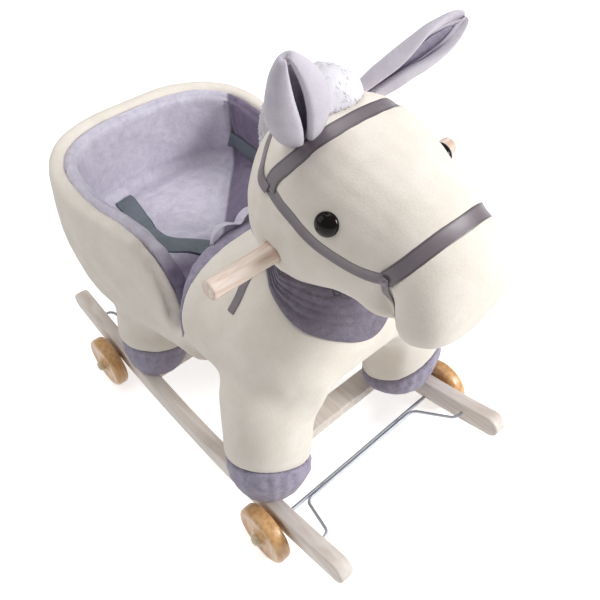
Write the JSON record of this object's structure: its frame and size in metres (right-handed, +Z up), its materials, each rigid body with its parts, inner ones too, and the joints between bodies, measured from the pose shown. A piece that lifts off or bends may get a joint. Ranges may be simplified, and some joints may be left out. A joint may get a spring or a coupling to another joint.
{
  "type": "rocking unicorn",
  "caption": "Plush ride-on rocking animal with a padded bucket seat, a wooden grab handle, curved wooden rockers and wheels on wire frames that flip up for rocking.",
  "frame": {"origin": "on the floor under the middle of the toy, which stands on its wheels", "axes": "+Z up, the animal faces -Y, +X is towards its own left side"},
  "size_m": [0.3682, 0.608, 0.6006],
  "materials": {
    "beech": "planed and sanded, pale, clear matt lacquer",
    "varnished_beech": "turned, orange-tan satin varnish",
    "plywood": "sawn, bare, hidden in the stuffing",
    "steel": "drawn rod and wire, zinc plated",
    "cap_plastic": "moulded, beige",
    "cream_plush": "short cream plush over stuffing",
    "lilac_velvet": "short lilac-grey velvet over foam",
    "grey_velvet": "short dark lilac-grey velvet",
    "white_fur": "long-pile white fleece",
    "satin_ribbon": "purple-grey satin ribbon",
    "belt_webbing": "slate-grey flat webbing",
    "black_plastic": "moulded, polished, near black"
  },
  "bodies": {
    "frame": {"rocker_left": "beech", "rocker_right": "beech", "front_crossbar": "beech", "rear_crossbar": "beech", "handle": "beech", "leg_post_front_left": "plywood", "leg_post_front_right": "plywood", "leg_post_rear_left": "plywood", "leg_post_rear_right": "plywood", "seat_board": "plywood", "neck_board": "plywood", "back_panel": "plywood", "rivet_left": "steel", "rivet_right": "steel", "body": "cream_plush", "rump": "cream_plush", "leg_front_left": "cream_plush", "leg_front_right": "cream_plush", "leg_rear_left": "cream_plush", "leg_rear_right": "cream_plush", "seat_tub": "cream_plush", "head": "cream_plush", "ear_left": "cream_plush", "ear_right": "cream_plush", "seat_lining": "lilac_velvet", "seat_cushion": "lilac_velvet", "pommel_pad": "lilac_velvet", "ear_lining_left": "lilac_velvet", "ear_lining_right": "lilac_velvet", "hoof_front_left": "grey_velvet", "hoof_front_right": "grey_velvet", "hoof_rear_left": "grey_velvet", "hoof_rear_right": "grey_velvet", "scarf": "grey_velvet", "mane": "white_fur", "browband": "satin_ribbon", "noseband": "satin_ribbon", "cheek_strap_left": "satin_ribbon", "cheek_strap_right": "satin_ribbon", "chin_strap": "satin_ribbon", "crown_strap": "satin_ribbon", "rein_left": "satin_ribbon", "rein_right": "satin_ribbon", "belt_keeper": "satin_ribbon", "belt_left": "belt_webbing", "belt_right": "belt_webbing", "eye_left": "black_plastic", "eye_right": "black_plastic"},
    "front_swing": {"front_axle": "steel", "front_wheel_frame": "steel", "axle_cap_front_left": "cap_plastic", "axle_cap_front_right": "cap_plastic"},
    "rear_swing": {"rear_axle": "steel", "rear_wheel_frame": "steel", "axle_cap_rear_left": "cap_plastic", "axle_cap_rear_right": "cap_plastic"},
    "running_wheel_front_left": {"wheel_front_left": "varnished_beech"},
    "running_wheel_front_right": {"wheel_front_right": "varnished_beech"},
    "running_wheel_rear_left": {"wheel_rear_left": "varnished_beech"},
    "running_wheel_rear_right": {"wheel_rear_right": "varnished_beech"}
  },
  "joints": [
    {"name": "front_swing", "type": "hinge", "parent": "frame", "child": "front_swing", "pos_m": [0, -0.246, 0.06743], "axis": [1, 0, 0], "range_deg": [-268, 0]},
    {"name": "rear_swing", "type": "hinge", "parent": "frame", "child": "rear_swing", "pos_m": [0, 0.246, 0.06743], "axis": [1, 0, 0], "range_deg": [0, 330]},
    {"name": "wheel_front_left_spin", "type": "hinge", "parent": "front_swing", "child": "running_wheel_front_left", "pos_m": [0.1648, -0.184, 0.0393], "axis": [1, 0, 0], "continuous": true},
    {"name": "wheel_front_right_spin", "type": "hinge", "parent": "front_swing", "child": "running_wheel_front_right", "pos_m": [-0.1648, -0.184, 0.0393], "axis": [1, 0, 0], "continuous": true},
    {"name": "wheel_rear_left_spin", "type": "hinge", "parent": "rear_swing", "child": "running_wheel_rear_left", "pos_m": [0.1648, 0.184, 0.0393], "axis": [1, 0, 0], "continuous": true},
    {"name": "wheel_rear_right_spin", "type": "hinge", "parent": "rear_swing", "child": "running_wheel_rear_right", "pos_m": [-0.1648, 0.184, 0.0393], "axis": [1, 0, 0], "continuous": true}
  ]
}
